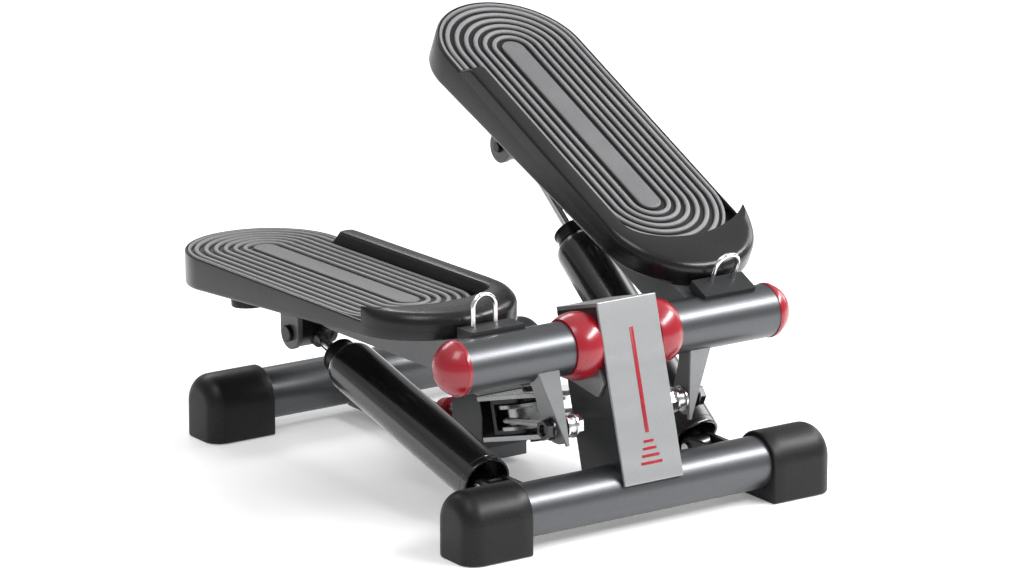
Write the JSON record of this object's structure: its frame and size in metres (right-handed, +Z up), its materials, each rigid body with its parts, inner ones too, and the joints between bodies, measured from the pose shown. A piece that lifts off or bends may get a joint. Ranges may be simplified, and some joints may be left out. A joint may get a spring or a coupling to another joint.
{
  "type": "mini stepper",
  "caption": "Low stepping machine with two hinged foot pedals on a crossbar, a hydraulic damper under each, a rope and pulley linking them, and a tubular base on rubber feet.",
  "frame": {"origin": "On the floor, at the centre of the machine's outline seen from above, front base to the lowered pedal's tail.", "axes": "+Z is up. -Y is the front, where the column and its face plate stand. +X is the raised pedal's side, on the right when seen from the front. The left pedal (-X) is down at rest, as in the picture."},
  "size_m": [0.3118, 0.4114, 0.2957],
  "materials": {
    "tube_paint": "satin metallic gunmetal paint",
    "frame_paint": "satin dark grey paint",
    "plate_metal": "satin silver sheet",
    "foot_rubber": "matte black rubber",
    "red_plastic": "glossy crimson",
    "tray_plastic": "finely textured black",
    "mat_rubber": "dark grey, fine grain",
    "pad_rubber": "black rubber pad",
    "cylinder_black": "gloss black enamel",
    "rod_chrome": "polished hard chrome",
    "zinc": "bright zinc plate",
    "gland_black": "satin black",
    "arm_steel": "grey powder coat",
    "rope_steel": "stranded galvanised wire",
    "pulley_plastic": "moulded black nylon",
    "bush_plastic": "natural nylon"
  },
  "bodies": {
    "frame": {"front_floor_tube": "tube_paint", "rear_floor_tube": "tube_paint", "front_left_foot": "foot_rubber", "front_right_foot": "foot_rubber", "rear_left_foot": "foot_rubber", "rear_right_foot": "foot_rubber", "column": "frame_paint", "column_face_plate": "plate_metal", "column_top_cap": "plate_metal", "crossbar_axle": "zinc", "left_inner_collar": "red_plastic", "right_inner_collar": "red_plastic", "centre_plates": "frame_paint", "adjuster_block": "frame_paint", "rear_beam": "frame_paint", "left_cylinder_bracket": "frame_paint", "right_cylinder_bracket": "frame_paint", "cylinder_pins": "zinc", "left_rope": "rope_steel", "right_rope": "rope_steel"},
    "left_pedal": {"left_pivot_tube": "tube_paint", "left_end_cap": "red_plastic", "left_bushes": "bush_plastic", "left_rope_arm": "arm_steel", "left_rope_bolt": "zinc", "left_pedal_arm": "arm_steel", "left_tray": "tray_plastic", "left_mat": "mat_rubber", "left_bumper": "pad_rubber", "left_band_ring": "rod_chrome", "left_clevis": "arm_steel", "left_clevis_pin": "zinc", "left_tray_screws": "zinc"},
    "right_pedal": {"right_pivot_tube": "tube_paint", "right_end_cap": "red_plastic", "right_bushes": "bush_plastic", "right_rope_arm": "arm_steel", "right_rope_bolt": "zinc", "right_pedal_arm": "arm_steel", "right_tray": "tray_plastic", "right_mat": "mat_rubber", "right_bumper": "pad_rubber", "right_band_ring": "rod_chrome", "right_clevis": "arm_steel", "right_clevis_pin": "zinc", "right_tray_screws": "zinc"},
    "left_cylinder": {"left_barrel": "cylinder_black", "left_gland": "gland_black"},
    "left_piston": {"left_rod": "rod_chrome", "left_rod_eye": "gland_black"},
    "right_cylinder": {"right_barrel": "cylinder_black", "right_gland": "gland_black"},
    "right_piston": {"right_rod": "rod_chrome", "right_rod_eye": "gland_black"},
    "pulley_carriage": {"pulley_fork": "frame_paint", "rope_wrap": "rope_steel"},
    "pulley": {"rope_pulley": "pulley_plastic"},
    "knob": {"adjuster_knob": "red_plastic"}
  },
  "joints": [
    {"name": "left_pedal_hinge", "type": "hinge", "parent": "frame", "child": "left_pedal", "pos_m": [-0.088, -0.1542, 0.1253], "axis": [1, 0, 0], "range_deg": [0, 26], "deforming": ["left_rope"]},
    {"name": "right_pedal_hinge", "type": "hinge", "parent": "frame", "child": "right_pedal", "pos_m": [0.088, -0.1542, 0.1253], "axis": [1, 0, 0], "range_deg": [-26, 0], "deforming": ["right_rope"]},
    {"name": "left_cylinder_hinge", "type": "hinge", "parent": "frame", "child": "left_cylinder", "pos_m": [-0.0886, -0.1352, 0.0277], "axis": [1, 0, 0], "range_deg": [0, 24.5]},
    {"name": "left_rod_slide", "type": "slide", "parent": "left_cylinder", "child": "left_piston", "axis": [0, 0.9699, 0.2435], "range_m": [0, 0.045]},
    {"name": "right_cylinder_hinge", "type": "hinge", "parent": "frame", "child": "right_cylinder", "pos_m": [0.0886, -0.1352, 0.0277], "axis": [1, 0, 0], "range_deg": [-24.5, 0]},
    {"name": "right_rod_slide", "type": "slide", "parent": "right_cylinder", "child": "right_piston", "axis": [0, 0.7921, 0.6104], "range_m": [-0.045, 0]},
    {"name": "adjuster_turn", "type": "hinge", "parent": "frame", "child": "knob", "pos_m": [0, 0.04867, 0.0257], "axis": [0, 0.962, -0.2731], "range_deg": [0, 720]},
    {"name": "carriage_slide", "type": "slide", "parent": "frame", "child": "pulley_carriage", "axis": [0, 0.962, -0.2731], "range_m": [0, 0.0026]},
    {"name": "pulley_spin", "type": "hinge", "parent": "pulley_carriage", "child": "pulley", "pos_m": [0, -0.05826, 0.04816], "axis": [0, 0.2731, 0.962], "range_deg": [-61, 0]}
  ],
  "couplings": [
    {"joint": "right_pedal_hinge", "follows": "left_pedal_hinge", "ratio": -1},
    {"joint": "left_cylinder_hinge", "follows": "left_pedal_hinge", "ratio": 0.9156},
    {"joint": "left_rod_slide", "follows": "left_pedal_hinge", "m_per_rad": 0.09623},
    {"joint": "right_cylinder_hinge", "follows": "left_pedal_hinge", "ratio": -0.8928},
    {"joint": "right_rod_slide", "follows": "left_pedal_hinge", "m_per_rad": -0.09445},
    {"joint": "pulley_spin", "follows": "left_pedal_hinge", "ratio": -2.334}
  ]
}
